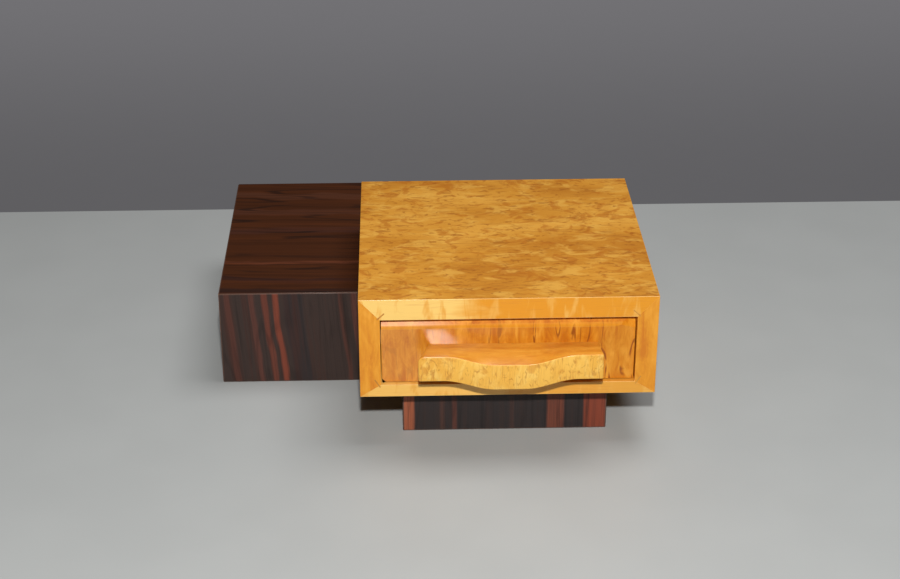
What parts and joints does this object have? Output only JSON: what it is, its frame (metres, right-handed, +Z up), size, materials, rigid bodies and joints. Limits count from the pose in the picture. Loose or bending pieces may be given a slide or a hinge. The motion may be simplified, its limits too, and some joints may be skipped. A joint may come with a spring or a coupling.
{
  "type": "wooden puzzle box",
  "caption": "Light burl chest with a drawer and a carved wavy handle on a dark plinth, with a dark striped side box that slides along it and hides a second drawer.",
  "frame": {"origin": "centre of the footprint, on the surface that the box stands on", "axes": "+Z up, -Y towards the drawer's front, +X to the right as seen from the front"},
  "size_m": [0.1962, 0.2026, 0.073],
  "materials": {
    "burl": "gloss lacquer over figured burl",
    "drawer_wood": "gloss lacquer, vertical figured grain",
    "handle_wood": "gloss lacquer, mottled grain",
    "spline_wood": "gloss lacquer",
    "inner_wood": "satin, plain maple",
    "dark_wood": "gloss lacquer, striped dark wood",
    "block_wood": "satin walnut",
    "brass": "plain",
    "steel": "ground"
  },
  "bodies": {
    "root": {"case_top": "burl", "case_bottom": "burl", "case_left_side": "burl", "case_right_side": "burl", "mitre_splines": "spline_wood", "case_back": "burl", "runner_left": "inner_wood", "runner_right": "inner_wood", "drawer_stop": "inner_wood", "rail_stop_dowel": "inner_wood", "plinth_front": "dark_wood", "plinth_back": "dark_wood", "plinth_left": "dark_wood", "plinth_right": "dark_wood", "plinth_corner_blocks": "block_wood", "plinth_screws": "brass", "lock_cross_rail": "block_wood", "lock_pin_plug": "brass"},
    "lock_pin": {"lock_pin": "steel"},
    "drawer": {"drawer_front": "drawer_wood", "drawer_handle": "handle_wood", "handle_screws": "brass", "drawer_left_side": "inner_wood", "drawer_right_side": "inner_wood", "drawer_back": "inner_wood", "drawer_bottom": "inner_wood", "drawer_pins": "dark_wood", "lock_keeper": "block_wood"},
    "side_box": {"side_box_front": "dark_wood", "side_box_top": "dark_wood", "side_box_bottom": "dark_wood", "side_box_left": "dark_wood", "side_box_right": "dark_wood", "slide_rail": "block_wood", "rail_screws": "brass", "side_box_magnets": "steel"},
    "hidden_drawer": {"hidden_drawer_front": "dark_wood", "hidden_drawer_left_side": "inner_wood", "hidden_drawer_right_side": "inner_wood", "hidden_drawer_end": "inner_wood", "hidden_drawer_bottom": "inner_wood", "hidden_drawer_magnets": "steel"}
  },
  "joints": [
    {"name": "drawer_slide", "type": "slide", "parent": "root", "child": "drawer", "axis": [0, -1, 0], "range_m": [0, 0.091]},
    {"name": "side_box_slide", "type": "slide", "parent": "root", "child": "side_box", "axis": [0, -1, 0], "range_m": [0, 0.0605]},
    {"name": "hidden_drawer_slide", "type": "slide", "parent": "side_box", "child": "hidden_drawer", "axis": [0, 1, 0], "range_m": [0, 0.095]},
    {"name": "lock_pin_lift", "type": "slide", "parent": "root", "child": "lock_pin", "axis": [0, 0, 1], "range_m": [0, 0.0046]}
  ]
}
